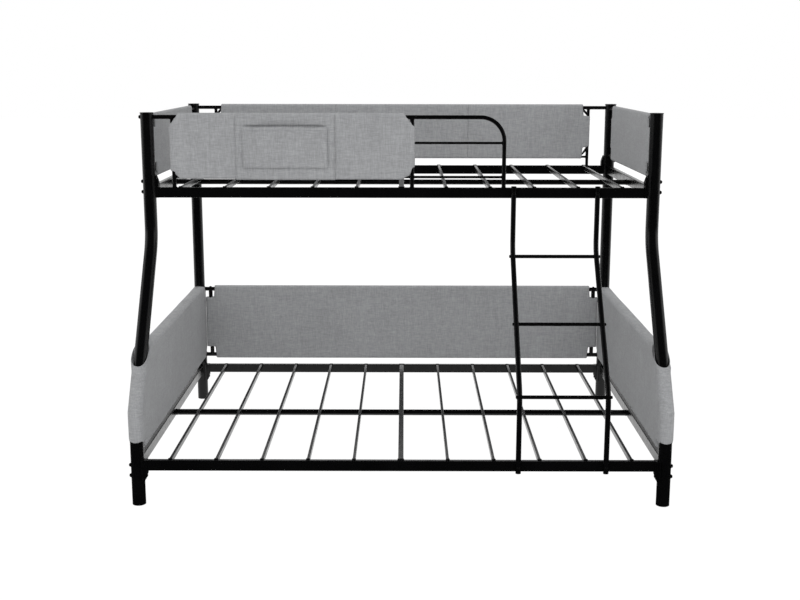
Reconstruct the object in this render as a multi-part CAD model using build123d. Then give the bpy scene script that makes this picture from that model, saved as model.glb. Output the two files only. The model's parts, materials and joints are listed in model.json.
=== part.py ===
from build123d import *
import math
import os

# A twin-over-full bunk bed of bolted steel tube, with fabric covers on its guards and panels.
# X runs along the bed, Y from the ladder side to the wall side, Z up. Sizes are in millimetres.
# The origin is on the floor, under the middle of the whole bed.

# Plan, between the axes of the posts
POST_SPAN = 1955.0          # a 1905 mattress lies between the 50 mm posts
LOWER_DEPTH = 1422.0        # a 1372 full-size mattress
UPPER_DEPTH = 1025.0        # a twin-size mattress
POST_D = 50.0
POST_WALL = 1.5
X_POST = POST_SPAN / 2
Y_REAR = 713.75             # rear posts
Y_LOW = Y_REAR - LOWER_DEPTH    # feet of the front posts
Y_UP = Y_REAR - UPPER_DEPTH     # tops of the front posts
POST_R = POST_D / 2

# Heights
POST_TOP = 1427.0
SEAM_Z = 1141.0             # where the upper post stands on the lower one
FOOT_T = 3.0
FOOT_PLUG = 18.0            # how far a foot cap goes up into its post
CAP_T = 3.0
CAP_PLUG = 9.0
CAP_LIP = 1.5               # a cap is this much wider than its post, all round
PLUG_WALL = 2.0
BEND_TOP_Z = 935.0          # the front posts swing forward between these two corners
BEND_LOW_Z = 355.0
BEND_R = 180.0

# Side and end rails, upright rectangular tube
RAIL_W = 20.0
RAIL_WALL = 1.2
RAIL_CORNER = 2.5
LOW_RAIL_H = 40.0
LOW_RAIL_TOP = 172.0
UP_RAIL_H = 40.0
UP_RAIL_TOP = 1143.5

# Brackets that bolt the side rails to the posts
SADDLE_T = 3.0
SADDLE_REACH = 16.0         # how far from the post axis the saddle's edges stop
LOW_BRACKET_H = 78.0
UP_BRACKET_H = 87.0
CHEEK_T = 2.5
CHEEK_REACH = 37.0          # from the post axis
CHEEK_SLANT = 26.0
BOLT_D = 8.0
BOLT_IN_LOW_RAIL = 20.0     # from the bracket's square end to the bolt inside the rail
BOLT_IN_UP_RAIL = 22.0
BOLT_PITCH = 40.5
HEAD_D = 13.0
HEAD_H = 5.5
WASHER_T = 1.5
WASHER_D = 16.0
NUT_AF = 13.0
NUT_H = 6.5
COUPLING_L = 100.0
COUPLING_WALL = 1.5

# Slats and the beams under them
SLAT_COUNT = 5              # each side of the middle slat
SLAT_PITCH = 170.7
FIRST_SLAT = 174.2
SLAT_W = 10.5
MIDDLE_SLAT_W = 20.0
SLAT_H = 20.0
SLAT_WALL = 1.0
SLAT_CORNER = 2.0
SLAT_RISE = 2.0             # slat top above the rail top
SLAT_CAP_W = 4.5            # how much wider than the slat its end cap is
SLAT_CAP_LIP = 9.0
SLAT_CAP_T = 3.5
SLAT_CAP_PLATE = 1.0        # between the slat's end and the rail
SLAT_CAP_CORNER = 2.5
SLAT_CAP_EDGE = 1.2
LOW_BEAM_D = 25.0
UP_BEAM_D = 22.0
BEAM_WALL = 1.5

# Guards on the upper bunk
GUARD_D = 16.0
GUARD_WALL = 1.2
GUARD_Z = 1413.0
GUARD_LEG_X = 396.0
GUARD_BEND_R = 92.0
GUARD_LEFT_X = -880.0
GUARD_MIDDLE_X = 41.0
REAR_UPRIGHT_X = 873.5
REAR_UPRIGHT_D = 14.0
ROD_D = 10.0
HIGH_ROD_Z = 1315.0
LOW_ROD_Z = 1184.0
GUSSET_W = 26.0             # the braces in the corners of the rear guard
GUSSET_TOP_H = 28.0
GUSSET_LOW_H = 40.0
GUSSET_T = 3.0
GUSSET_OPEN_TOP = 12.0      # the open corner inside a brace
GUSSET_OPEN_LOW = 20.0

# Panel frames at the ends and behind the lower bunk
END_TUBE_D = 16.0
END_TUBE_WALL = 1.2
END_UPRIGHT_D = 14.0
UP_END_TOP_Z = 1409.0
UP_END_LOW_Z = 1193.0
END_UPRIGHT_GAP = 80.0      # from the post's face to the upright's axis
END_UPRIGHTS = (Y_UP + POST_R + END_UPRIGHT_GAP, Y_REAR - POST_R - END_UPRIGHT_GAP)
END_PLATE_T = 3.0           # the plate in each corner, beside the post
END_PLATE_H = 35.0          # from the tube's axis
PANEL_TUBE_D = 19.0
PANEL_TOP_Z = 546.0
PANEL_LOW_Z = 221.0
PANEL_HEIGHTS = (PANEL_TOP_Z, PANEL_LOW_Z)
PANEL_WALL = 1.2
PANEL_BOLT_L = 33.5
BACK_UPRIGHT_X = 925.0
PANEL_BOLT_D = 6.0

# Fabric covers
COVER_T = 24.0              # over 16 mm tube
BACK_COVER_T = 27.0         # over 19 mm tube
CLOTH = 4.0                 # padded fabric, each face
SLEEVE = 3.0                # fabric round a post
COVER_TOP_Z = 1429.0
COVER_LOW_Z = 1176.0
FRONT_COVER_LEFT = -896.0
FRONT_COVER_RIGHT = 52.0
FRONT_COVER_LOW_Z = 1172.0
FRONT_CORNERS = ((39.0, 36.0), (48.0, 53.0), (43.0, 53.0), (39.0, 50.0))    # from the bottom left, round
REAR_COVER_X = 882.0
REAR_NOTCH_W = 30.0
SLIT_W = 16.0               # the slits in the rear guard's cover for the braces
SLIT_H = 26.0
NOTCH_H = 53.0
BACK_NOTCH_W = 39.5
BACK_NOTCH_H = 56.0
NOTCH_SPLAY = 4.0           # a notch is this much wider at its open end
COVER_CORNER = 3.0
BACK_COVER_X = 948.5
BACK_COVER_TOP = 564.0
BACK_COVER_LOW = 204.0
END_COVER_TOP = 1425.0
END_COVER_LOW = 1177.0
END_NOTCH_WS = (74.0, 18.0)  # at the front and at the rear
END_NOTCH_H = 53.0
END_COVER_GAP = 3.0         # between the cover and the front post
END_COVER_REAR = 84.0       # from the rear post's axis to the cover
LOW_END_TOP = 562.0
LOW_END_LOW = 208.0
MOUTH_Z = 498.0             # where the front post goes into its sleeve
SLEEVE_LOW_Z = 241.0
SLEEVE_CORNER = 20.0
POCKET_LEFT = -612.0
POCKET_RIGHT = -285.0
POCKET_LOW_Z = 1219.0
POCKET_TOP_Z = 1375.0
POCKET_GAP = 6.0
POCKET_CLOTH = 2.5
POCKET_EDGE = 2.0

# Ladder
LADDER_D = 20.0
LADDER_WALL = 1.5
LADDER_LEFT_X = 434.0
LADDER_WIDTH = 324.0
LADDER_TOP_Z = 1150.0
LADDER_LOW_Z = 129.0
LADDER_BEND_TOP = 905.0
LADDER_BEND_LOW = 425.0
LADDER_BEND_R = 110.0
RUNG_D = 14.0
RUNG_WALL = 1.2
LADDER_THREAD = 6.0         # how far a ladder bolt goes into the rail
RUNG_HEIGHTS = (880.0, 652.0, 421.0)
KNOB_D = 12.0
KNOB_H = 4.5
LADDER_BOLT_D = 6.0
LADDER_HEAD_D = 11.0
LADDER_HEAD_H = 3.5
LADDER_WASHER_T = 0.5
RUNG_THREAD = 16.0          # how far a rung bolt goes into its rung

LEFT, RIGHT = -1, 1
SIDES = {"left": LEFT, "right": RIGHT}


def round_tube(start, end, diameter, wall):
    """A straight round tube between two points."""
    axis = Vector(*end) - Vector(*start)
    ring = Circle(diameter / 2) - Circle(diameter / 2 - wall)
    return extrude(Plane(origin=start, z_dir=axis) * ring, amount=axis.length)


def round_bar(start, end, diameter):
    """A straight solid bar between two points."""
    axis = Vector(*end) - Vector(*start)
    return extrude(Plane(origin=start, z_dir=axis) * Circle(diameter / 2), amount=axis.length)


def rect_tube(start, end, width, height, wall, corner):
    """A level rectangular tube between two points, its height along Z."""
    axis = Vector(*end) - Vector(*start)
    plane = Plane(origin=start, x_dir=Vector(0, 0, 1).cross(axis), z_dir=axis)
    outside = RectangleRounded(width, height, corner)
    inside = RectangleRounded(width - 2 * wall, height - 2 * wall, corner - wall / 2)
    return extrude(plane * (outside - inside), amount=axis.length)


def bent_path(points, radius):
    return FilletPolyline(*points, radius=radius)


def bent_tube(points, diameter, wall, radius):
    """A round tube along straight runs joined by bends."""
    path = bent_path(points, radius)
    ring = Circle(diameter / 2) - Circle(diameter / 2 - wall)
    return sweep(Plane(origin=path @ 0, z_dir=path % 0) * ring, path)


def bent_bar(points, diameter, radius):
    path = bent_path(points, radius)
    return sweep(Plane(origin=path @ 0, z_dir=path % 0) * Circle(diameter / 2), path)


def box_between(low, high):
    """A box from its lowest to its highest corner."""
    size = [b - a for a, b in zip(low, high)]
    middle = [(a + b) / 2 for a, b in zip(low, high)]
    return Pos(*middle) * Box(*size)


def facing_front(y):
    """The upright plane at Y whose sketch X and Y are the bed's X and Z."""
    return Plane(origin=(0, y, 0), x_dir=(1, 0, 0), z_dir=(0, -1, 0))


def facing_side(x):
    """The upright plane at X whose sketch X and Y are the bed's Y and Z."""
    return Plane(origin=(x, 0, 0), x_dir=(0, 1, 0), z_dir=(1, 0, 0))


def cut_all(piece, tools):
    for tool in tools:
        piece = piece - tool
    return piece


def group(pieces):
    """Separate solids kept together under one name."""
    solids = [solid for piece in pieces for solid in piece.solids()]
    return Compound(children=solids)


def front_post_points(x, low, high):
    return [(x, Y_LOW, low), (x, Y_LOW, BEND_LOW_Z), (x, Y_UP, BEND_TOP_Z), (x, Y_UP, high)]


def front_post_y(z):
    """Y of the front post's axis on its slope."""
    share = (z - BEND_LOW_Z) / (BEND_TOP_Z - BEND_LOW_Z)
    return Y_LOW + min(max(share, 0.0), 1.0) * (Y_UP - Y_LOW)


def post_envelopes():
    """The outside of every post as a solid bar, to cut the pieces that meet it."""
    bars = []
    for side in SIDES.values():
        x = side * X_POST
        bars.append(bent_bar(front_post_points(x, 0.0, POST_TOP), POST_D, BEND_R))
        bars.append(round_bar((x, Y_REAR, 0.0), (x, Y_REAR, POST_TOP), POST_D))
    return bars


POSTS = post_envelopes()


def clear_of_posts(piece):
    return cut_all(piece, POSTS)


# Every bolt through a post: its height, and the post's Y, for both sides of the bed
UP_RAIL_LOW = UP_RAIL_TOP - UP_RAIL_H
LOW_BOLT_Z = (LOW_RAIL_TOP - BOLT_IN_LOW_RAIL, LOW_RAIL_TOP - BOLT_IN_LOW_RAIL - BOLT_PITCH)
UP_BOLT_Z = (UP_RAIL_LOW + BOLT_IN_UP_RAIL, UP_RAIL_LOW + BOLT_IN_UP_RAIL + BOLT_PITCH)
RAIL_BOLTS = [(y, z) for y in (Y_LOW, Y_REAR) for z in LOW_BOLT_Z]
RAIL_BOLTS += [(y, z) for y in (Y_UP, Y_REAR) for z in UP_BOLT_Z]
GUARD_BOLTS = ((LEFT, Y_UP), (LEFT, Y_REAR), (RIGHT, Y_REAR))
SADDLE_R = POST_R + SADDLE_T
BOLT_REACH = SADDLE_R + NUT_H + 2.0     # the thread's end, from the post axis


def bolt_holes():
    """One bar for every bolt hole through the posts, right across the post."""
    bars = []
    for side in SIDES.values():
        for y, z in RAIL_BOLTS:
            outer = side * (X_POST + SADDLE_R)
            inner = side * (X_POST - BOLT_REACH)
            bars.append(round_bar((inner, y, z), (outer, y, z), BOLT_D))
    for side, y in GUARD_BOLTS:
        inner = side * (X_POST - SADDLE_R)
        outer = side * (X_POST + SADDLE_R)
        bars.append(round_bar((inner, y, GUARD_Z), (outer, y, GUARD_Z), BOLT_D))
    return bars


HOLES = bolt_holes()


def drilled(piece):
    """Cut the bolt holes that reach this piece."""
    box = piece.bounding_box()
    for bar in HOLES:
        near = bar.bounding_box()
        if near.max.X < box.min.X or near.min.X > box.max.X or near.max.Z < box.min.Z:
            continue
        if near.min.Z > box.max.Z or near.max.Y < box.min.Y or near.min.Y > box.max.Y:
            continue
        piece = piece - bar
    return piece


def posts():
    nodes = {}
    for name, side in SIDES.items():
        x = side * X_POST
        front = bent_tube(front_post_points(x, FOOT_T, SEAM_Z), POST_D, POST_WALL, BEND_R)
        rear = round_tube((x, Y_REAR, FOOT_T), (x, Y_REAR, SEAM_Z), POST_D, POST_WALL)
        nodes[f"lower_front_{name}_post"] = drilled(front)
        nodes[f"lower_rear_{name}_post"] = drilled(rear)
        for place, y in (("front", Y_UP), ("rear", Y_REAR)):
            upper = round_tube((x, y, SEAM_Z), (x, y, POST_TOP), POST_D, POST_WALL)
            nodes[f"upper_{place}_{name}_post"] = drilled(upper)
    return nodes


def post_ends():
    """Couplings inside the seams, caps on top and foot caps on the floor."""
    inner_d = POST_D - 2 * POST_WALL
    couplings, caps, feet = [], [], []
    for side in SIDES.values():
        x = side * X_POST
        for y in (Y_UP, Y_REAR):
            low, high = SEAM_Z - COUPLING_L / 2, SEAM_Z + COUPLING_L / 2
            couplings.append(drilled(round_tube((x, y, low), (x, y, high), inner_d, COUPLING_WALL)))
            disc = Pos(x, y, POST_TOP + CAP_T / 2) * Cylinder(POST_R + CAP_LIP, CAP_T)
            disc = fillet(disc.edges().sort_by(Axis.Z)[-1], CAP_T / 2)
            plug = round_tube((x, y, POST_TOP - CAP_PLUG), (x, y, POST_TOP), inner_d, PLUG_WALL)
            caps.append(disc + plug)
        for y in (Y_LOW, Y_REAR):
            disc = Pos(x, y, FOOT_T / 2) * Cylinder(POST_R, FOOT_T)
            disc = chamfer(disc.edges().sort_by(Axis.Z)[0], FOOT_T / 4)
            plug = round_tube((x, y, FOOT_T), (x, y, FOOT_T + FOOT_PLUG), inner_d, PLUG_WALL)
            feet.append(disc + plug)
    return {"post_couplings": group(couplings), "post_caps": group(caps), "foot_caps": group(feet)}


def side_rail(y, top, height):
    """A rail between two post brackets, its ends shaped to the brackets' saddles."""
    z = top - height / 2
    rail = rect_tube((-X_POST, y, z), (X_POST, y, z), RAIL_W, height, RAIL_WALL, RAIL_CORNER)
    for side in SIDES.values():
        rail = rail - Pos(side * X_POST, y, z) * Cylinder(SADDLE_R, 2 * height)
    return rail


def rails():
    nodes = {
        "lower_front_rail": side_rail(Y_LOW, LOW_RAIL_TOP, LOW_RAIL_H),
        "lower_rear_rail": side_rail(Y_REAR, LOW_RAIL_TOP, LOW_RAIL_H),
        "upper_front_rail": side_rail(Y_UP, UP_RAIL_TOP, UP_RAIL_H),
        "upper_rear_rail": side_rail(Y_REAR, UP_RAIL_TOP, UP_RAIL_H),
    }
    for name, side in SIDES.items():
        x = side * X_POST
        for level, y, top, height in (("lower", Y_LOW, LOW_RAIL_TOP, LOW_RAIL_H),
                                      ("upper", Y_UP, UP_RAIL_TOP, UP_RAIL_H)):
            z = top - height / 2
            rail = rect_tube((x, y, z), (x, Y_REAR, z), RAIL_W, height, RAIL_WALL, RAIL_CORNER)
            nodes[f"{level}_{name}_end_rail"] = clear_of_posts(rail)
    return nodes


def rail_bracket(side, y, rail_outer, free_end):
    """A saddle on the post with two cheeks beside the rail. Its free end, past the rail, slants back."""
    x = side * X_POST
    low, high = min(rail_outer, free_end), max(rail_outer, free_end)
    z = (low + high) / 2
    near, far = x - side * SADDLE_REACH, x - side * SADDLE_R
    saddle_box = box_between((min(near, far), y - SADDLE_R, low), (max(near, far), y + SADDLE_R, high))
    saddle = saddle_box & Pos(x, y, z) * Cylinder(SADDLE_R, high - low)
    slant_z = free_end + math.copysign(CHEEK_SLANT, rail_outer - free_end)
    inner, outer, tip = (x - side * reach for reach in (SADDLE_REACH, CHEEK_REACH, SADDLE_R))
    profile = Polyline((inner, rail_outer), (outer, rail_outer), (outer, slant_z), (tip, free_end),
                       (inner, free_end), close=True)
    bracket = saddle
    for cheek_y in (y - RAIL_W / 2, y + RAIL_W / 2 + CHEEK_T):
        bracket = bracket + extrude(facing_front(cheek_y) * make_face(profile), amount=CHEEK_T)
    return drilled(bracket - Pos(x, y, z) * Cylinder(POST_R, high - low))


def brackets():
    lower, upper = [], []
    for side in SIDES.values():
        lower += [rail_bracket(side, y, LOW_RAIL_TOP, LOW_RAIL_TOP - LOW_BRACKET_H) for y in (Y_LOW, Y_REAR)]
        upper += [rail_bracket(side, y, UP_RAIL_LOW, UP_RAIL_LOW + UP_BRACKET_H) for y in (Y_UP, Y_REAR)]
    return {"lower_rail_brackets": group(lower), "upper_rail_brackets": group(upper)}


def bolt_head(diameter, height):
    """A low domed head standing on the XY plane."""
    head = Pos(0, 0, height / 2) * Cylinder(diameter / 2, height)
    return fillet(head.edges().sort_by(Axis.Z)[-1], height * 0.7)


def through_bolt(side, y, z, reach):
    """A domed bolt from the outer side of a post, with a shoulder shaped to the post's surface."""
    seat = X_POST + POST_R + WASHER_T
    outward = Plane(origin=(side * seat, y, z), z_dir=(side, 0, 0))
    shank = round_bar((side * (X_POST - reach), y, z), (side * seat, y, z), BOLT_D)
    shoulder = round_bar((side * X_POST, y, z), (side * seat, y, z), WASHER_D)
    shoulder = shoulder - Pos(side * X_POST, y, z) * Cylinder(POST_R, 2 * WASHER_D)
    return shoulder + shank + outward * bolt_head(HEAD_D, HEAD_H)


def frame_fasteners():
    bolts, nuts = [], []
    for side in SIDES.values():
        for y, z in RAIL_BOLTS:
            bolts.append(through_bolt(side, y, z, BOLT_REACH))
            inner = Plane(origin=(side * (X_POST - SADDLE_R), y, z), x_dir=(0, 0, 1), z_dir=(-side, 0, 0))
            hexagon = RegularPolygon(NUT_AF / math.sqrt(3), 6) - Circle(BOLT_D / 2)
            nuts.append(extrude(inner * hexagon, amount=NUT_H))
    guard_bolts = [through_bolt(side, y, GUARD_Z, POST_R) for side, y in GUARD_BOLTS]
    return {"rail_bolts": group(bolts), "rail_nuts": group(nuts), "guard_bolts": group(guard_bolts)}


def slat_places():
    steps = [FIRST_SLAT + step * SLAT_PITCH for step in range(SLAT_COUNT)]
    return [side * x for side in SIDES.values() for x in steps]


def slat(x, front, top, width):
    """A slat tube on edge between the inner faces of the front and the rear rail."""
    z = top + SLAT_RISE - SLAT_H / 2
    inset = RAIL_W / 2 + SLAT_CAP_PLATE
    return rect_tube((x, front + inset, z), (x, Y_REAR - inset, z), width, SLAT_H, SLAT_WALL, SLAT_CORNER)


def slat_cap(x, y, inward, top, width):
    """The end cap of a slat: a plate against the rail and a rounded lip that lies on the rail's top."""
    wide = width + SLAT_CAP_W
    face = y + inward * RAIL_W / 2
    near = face + inward * SLAT_CAP_PLATE
    far = face - inward * SLAT_CAP_LIP
    plate = box_between((x - width / 2, min(face, near), top + SLAT_RISE - SLAT_H),
                        (x + width / 2, max(face, near), top + SLAT_CAP_T))
    lip = box_between((x - wide / 2, min(far, near), top), (x + wide / 2, max(far, near), top + SLAT_CAP_T))
    lip = fillet(lip.edges().filter_by(Axis.Z), SLAT_CAP_CORNER)
    lip = fillet(lip.faces().sort_by(Axis.Z)[-1].edges(), SLAT_CAP_EDGE)
    return plate + lip


def decks():
    nodes = {}
    for level, front, top, beam_d in (("lower", Y_LOW, LOW_RAIL_TOP, LOW_BEAM_D),
                                      ("upper", Y_UP, UP_RAIL_TOP, UP_BEAM_D)):
        nodes[f"{level}_slats"] = group([slat(x, front, top, SLAT_W) for x in slat_places()])
        nodes[f"{level}_middle_slat"] = slat(0.0, front, top, MIDDLE_SLAT_W)
        caps = []
        widths = {x: SLAT_W for x in slat_places()}
        widths[0.0] = MIDDLE_SLAT_W
        for x, width in widths.items():
            caps.append(slat_cap(x, front, 1, top, width))
            caps.append(slat_cap(x, Y_REAR, -1, top, width))
        nodes[f"{level}_slat_caps"] = group(caps)
        y = (front + Y_REAR) / 2
        z = top + SLAT_RISE - SLAT_H - beam_d / 2
        reach = X_POST - RAIL_W / 2
        nodes[f"{level}_mid_beam"] = round_tube((-reach, y, z), (reach, y, z), beam_d, BEAM_WALL)
    return nodes


def gusset(x, z, across, down, height, opening):
    """A brace plate over the corner of two tubes of the rear guard, with the corner itself left open."""
    legs = []
    for wide, high in ((GUSSET_W, height), (opening, opening)):
        points = ((x, z), (x + across * wide, z), (x, z - down * high))
        legs.append(make_face(Polyline(*points, close=True)))
    return extrude(facing_front(Y_REAR + GUSSET_T / 2) * (legs[0] - legs[1]), amount=GUSSET_T)


def rear_gussets():
    pieces = []
    for side in SIDES.values():
        x = side * (REAR_UPRIGHT_X - REAR_UPRIGHT_D / 2)
        pieces.append(gusset(x, GUARD_Z - GUARD_D / 2, -side, 1, GUSSET_TOP_H, GUSSET_OPEN_TOP))
        pieces.append(gusset(x, LOW_ROD_Z + ROD_D / 2, -side, -1, GUSSET_LOW_H, GUSSET_OPEN_LOW))
    return pieces


def guards():
    top_points = [(-X_POST, Y_UP, GUARD_Z), (GUARD_LEG_X, Y_UP, GUARD_Z), (GUARD_LEG_X, Y_UP, UP_RAIL_TOP)]
    front_top = clear_of_posts(bent_tube(top_points, GUARD_D, GUARD_WALL, GUARD_BEND_R))
    front_solid = bent_bar(top_points, GUARD_D, GUARD_BEND_R)
    rear_ends = ((-X_POST, Y_REAR, GUARD_Z), (X_POST, Y_REAR, GUARD_Z))
    rear_top = clear_of_posts(round_tube(*rear_ends, GUARD_D, GUARD_WALL))
    rear_solid = round_bar(*rear_ends, GUARD_D)

    def upright(x, y, rail, diameter):
        return round_tube((x, y, UP_RAIL_TOP), (x, y, GUARD_Z), diameter, GUARD_WALL) - rail

    def crossing(x, y, z, diameter):
        return round_bar((x, y, z - diameter), (x, y, z + diameter), diameter)

    uprights = [upright(x, Y_UP, front_solid, GUARD_D) for x in (GUARD_LEFT_X, GUARD_MIDDLE_X)]
    rods = []
    for z in (HIGH_ROD_Z, LOW_ROD_Z):
        for start, end in ((GUARD_LEFT_X, GUARD_MIDDLE_X), (GUARD_MIDDLE_X, GUARD_LEG_X)):
            rod = round_bar((start, Y_UP, z), (end, Y_UP, z), ROD_D)
            rods.append(cut_all(rod, [crossing(x, Y_UP, z, GUARD_D) for x in (start, end)]))
    rear_uprights = [upright(side * REAR_UPRIGHT_X, Y_REAR, rear_solid, REAR_UPRIGHT_D)
                     for side in SIDES.values()]
    rear_rod = round_bar((-REAR_UPRIGHT_X, Y_REAR, LOW_ROD_Z), (REAR_UPRIGHT_X, Y_REAR, LOW_ROD_Z), ROD_D)
    for side in SIDES.values():
        rear_rod = rear_rod - crossing(side * REAR_UPRIGHT_X, Y_REAR, LOW_ROD_Z, REAR_UPRIGHT_D)
    return {
        "front_guard_tube": front_top,
        "front_guard_uprights": group(uprights),
        "front_guard_rods": group(rods),
        "rear_guard_tube": rear_top,
        "rear_guard_uprights": group(rear_uprights),
        "rear_guard_rod": rear_rod,
        "rear_guard_gussets": group(rear_gussets()),
    }


def upper_end_frame(side):
    """Two tubes across the end of the upper bunk, two uprights between them and a plate in each corner."""
    x = side * X_POST
    tubes, bars = [], []
    for z in (UP_END_TOP_Z, UP_END_LOW_Z):
        tubes.append(clear_of_posts(round_tube((x, Y_UP, z), (x, Y_REAR, z), END_TUBE_D, END_TUBE_WALL)))
        bars.append(round_bar((x, Y_UP, z), (x, Y_REAR, z), END_TUBE_D))
    for y in END_UPRIGHTS:
        upright = round_tube((x, y, UP_END_LOW_Z), (x, y, UP_END_TOP_Z), END_UPRIGHT_D, END_TUBE_WALL)
        tubes.append(cut_all(upright, bars))
        bars.append(round_bar((x, y, UP_END_LOW_Z), (x, y, UP_END_TOP_Z), END_UPRIGHT_D))
    half = END_PLATE_T / 2
    for z, far_z in ((UP_END_TOP_Z, UP_END_TOP_Z - END_PLATE_H), (UP_END_LOW_Z, UP_END_LOW_Z + END_PLATE_H)):
        for post_y, upright_y in ((Y_UP, END_UPRIGHTS[0]), (Y_REAR, END_UPRIGHTS[1])):
            plate = box_between((x - half, min(post_y, upright_y), min(z, far_z)),
                                (x + half, max(post_y, upright_y), max(z, far_z)))
            tubes.append(clear_of_posts(cut_all(plate, bars)))
    return tubes


def lower_end_frame(side):
    """Two tubes across the end of the lower bunk, from post to post."""
    x = side * X_POST
    tubes = []
    for z in PANEL_HEIGHTS:
        tube = round_tube((x, front_post_y(z), z), (x, Y_REAR, z), PANEL_TUBE_D, PANEL_WALL)
        tubes.append(clear_of_posts(tube))
    return tubes


def back_tube_bars():
    return [round_bar((-X_POST, Y_REAR, z), (X_POST, Y_REAR, z), PANEL_TUBE_D) for z in PANEL_HEIGHTS]


def back_frame():
    """Two long tubes behind the lower bunk and two uprights between them."""
    tubes = []
    for z in PANEL_HEIGHTS:
        tube = round_tube((-X_POST, Y_REAR, z), (X_POST, Y_REAR, z), PANEL_TUBE_D, PANEL_WALL)
        tubes.append(clear_of_posts(tube))
    for side in SIDES.values():
        x = side * BACK_UPRIGHT_X
        upright = round_tube((x, Y_REAR, PANEL_LOW_Z), (x, Y_REAR, PANEL_TOP_Z), PANEL_TUBE_D, PANEL_WALL)
        tubes.append(cut_all(upright, back_tube_bars()))
    return tubes


def back_bolts():
    """Bolts down through the long top tube into the uprights."""
    bolts = []
    for side in SIDES.values():
        x = side * BACK_UPRIGHT_X
        seat = PANEL_TOP_Z + PANEL_TUBE_D / 2
        shank = round_bar((x, Y_REAR, seat - PANEL_BOLT_L), (x, Y_REAR, seat), PANEL_BOLT_D)
        bolts.append(shank + Pos(x, Y_REAR, seat) * bolt_head(LADDER_HEAD_D, LADDER_HEAD_H))
    return bolts


def panel_frames():
    bolts = back_bolts()
    frame = [cut_all(tube, bolts) for tube in back_frame()]
    nodes = {"back_panel_frame": group(frame), "back_panel_bolts": group(bolts)}
    for name, side in SIDES.items():
        nodes[f"upper_{name}_end_frame"] = group(upper_end_frame(side))
        nodes[f"lower_{name}_end_frame"] = group(lower_end_frame(side))
    return nodes


def notched_outline(left, right, low, high, notch_ws, notch_h):
    """A panel outline with a slightly splayed notch in each corner."""
    near_left, near_right = left + notch_ws[0], right - notch_ws[1]
    return [(near_left + NOTCH_SPLAY, low), (near_right - NOTCH_SPLAY, low), (near_right, low + notch_h),
            (right, low + notch_h), (right, high - notch_h), (near_right, high - notch_h),
            (near_right - NOTCH_SPLAY, high), (near_left + NOTCH_SPLAY, high), (near_left, high - notch_h),
            (left, high - notch_h), (left, low + notch_h), (near_left, low + notch_h)]


def chamfered_outline(left, right, low, high, corners):
    """A panel outline with a slanted cut (its width, its height) at each corner."""
    (w1, h1), (w2, h2), (w3, h3), (w4, h4) = corners
    return [(left + w1, low), (right - w2, low), (right, low + h2), (right, high - h3),
            (right - w3, high), (left + w4, high), (left, high - h4), (left, low + h1)]


def panel_cover(outline, plane, thickness):
    """A hollow fabric cover: an outline, offset inward for the space that the tubes take."""
    face = make_face(Polyline(*outline, close=True))
    outer = extrude(plane * face, amount=thickness / 2, both=True)
    outer = fillet(outer.edges().filter_by(Axis((0, 0, 0), tuple(plane.z_dir))), COVER_CORNER)
    inner_face = offset(face, amount=-CLOTH, kind=Kind.INTERSECTION)
    return outer - extrude(plane * inner_face, amount=thickness / 2 - CLOTH, both=True)


def guard_bars(y):
    """Solid bars where the tubes and rods of a guard run, to cut its cover."""
    if y == Y_UP:
        uprights, heights, reach = (GUARD_LEFT_X, GUARD_MIDDLE_X), (HIGH_ROD_Z, LOW_ROD_Z), GUARD_LEG_X
        diameter = GUARD_D
    else:
        uprights, heights, reach = (-REAR_UPRIGHT_X, REAR_UPRIGHT_X), (LOW_ROD_Z,), REAR_UPRIGHT_X
        diameter = REAR_UPRIGHT_D
    bars = [round_bar((-X_POST, y, GUARD_Z), (reach, y, GUARD_Z), GUARD_D)]
    bars += [round_bar((x, y, UP_RAIL_TOP), (x, y, GUARD_Z), diameter) for x in uprights]
    bars += [round_bar((uprights[0], y, z), (reach, y, z), ROD_D) for z in heights]
    return bars


def brace_slits():
    """Openings in the sides of the rear cover's notches, where the braces go in."""
    slits = []
    for side in SIDES.values():
        middle = side * (REAR_COVER_X - REAR_NOTCH_W - NOTCH_SPLAY)
        for z in (LOW_ROD_Z + SLIT_H / 2, GUARD_Z - SLIT_H / 2):
            slits.append(Pos(middle, Y_REAR, z) * Box(SLIT_W, GUSSET_T, SLIT_H))
    return slits


def lower_end_cover(side):
    """The sleeve over one end of the lower bunk, from the rear post to the bent front post."""
    x = side * X_POST
    reach = POST_R + SLEEVE
    slope = math.atan2(Y_UP - Y_LOW, BEND_TOP_Z - BEND_LOW_Z)
    off = reach / math.cos(slope)
    knee = BEND_LOW_Z + reach * math.tan(slope / 2)

    def outline(grow):
        step = grow / math.cos(slope)
        return [(Y_REAR + reach + grow, LOW_END_LOW - grow), (Y_REAR + reach + grow, LOW_END_TOP + grow),
                (front_post_y(LOW_END_TOP) + off, LOW_END_TOP + grow),
                (front_post_y(MOUTH_Z) - off - step, MOUTH_Z + grow),
                (Y_LOW - reach - grow, knee), (Y_LOW - reach - grow, SLEEVE_LOW_Z - grow),
                (Y_LOW + reach - grow, SLEEVE_LOW_Z - grow), (Y_LOW + reach - grow, LOW_END_LOW - grow)]

    plane = facing_side(x)
    outer_face = make_face(Polyline(*outline(0.0), close=True))
    inner_face = make_face(Polyline(*outline(-SLEEVE), close=True))
    outer = extrude(plane * outer_face, amount=reach, both=True)
    rear_edges = outer.edges().filter_by(Axis.Z).group_by(Axis.Y)[-1]
    outer = fillet(rear_edges, SLEEVE_CORNER)
    inner = extrude(plane * inner_face, amount=POST_R, both=True)
    end_bars = [round_bar((x, front_post_y(z), z), (x, Y_REAR, z), PANEL_TUBE_D) for z in PANEL_HEIGHTS]
    return cut_all(clear_of_posts(outer - inner), back_tube_bars() + end_bars)


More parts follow.
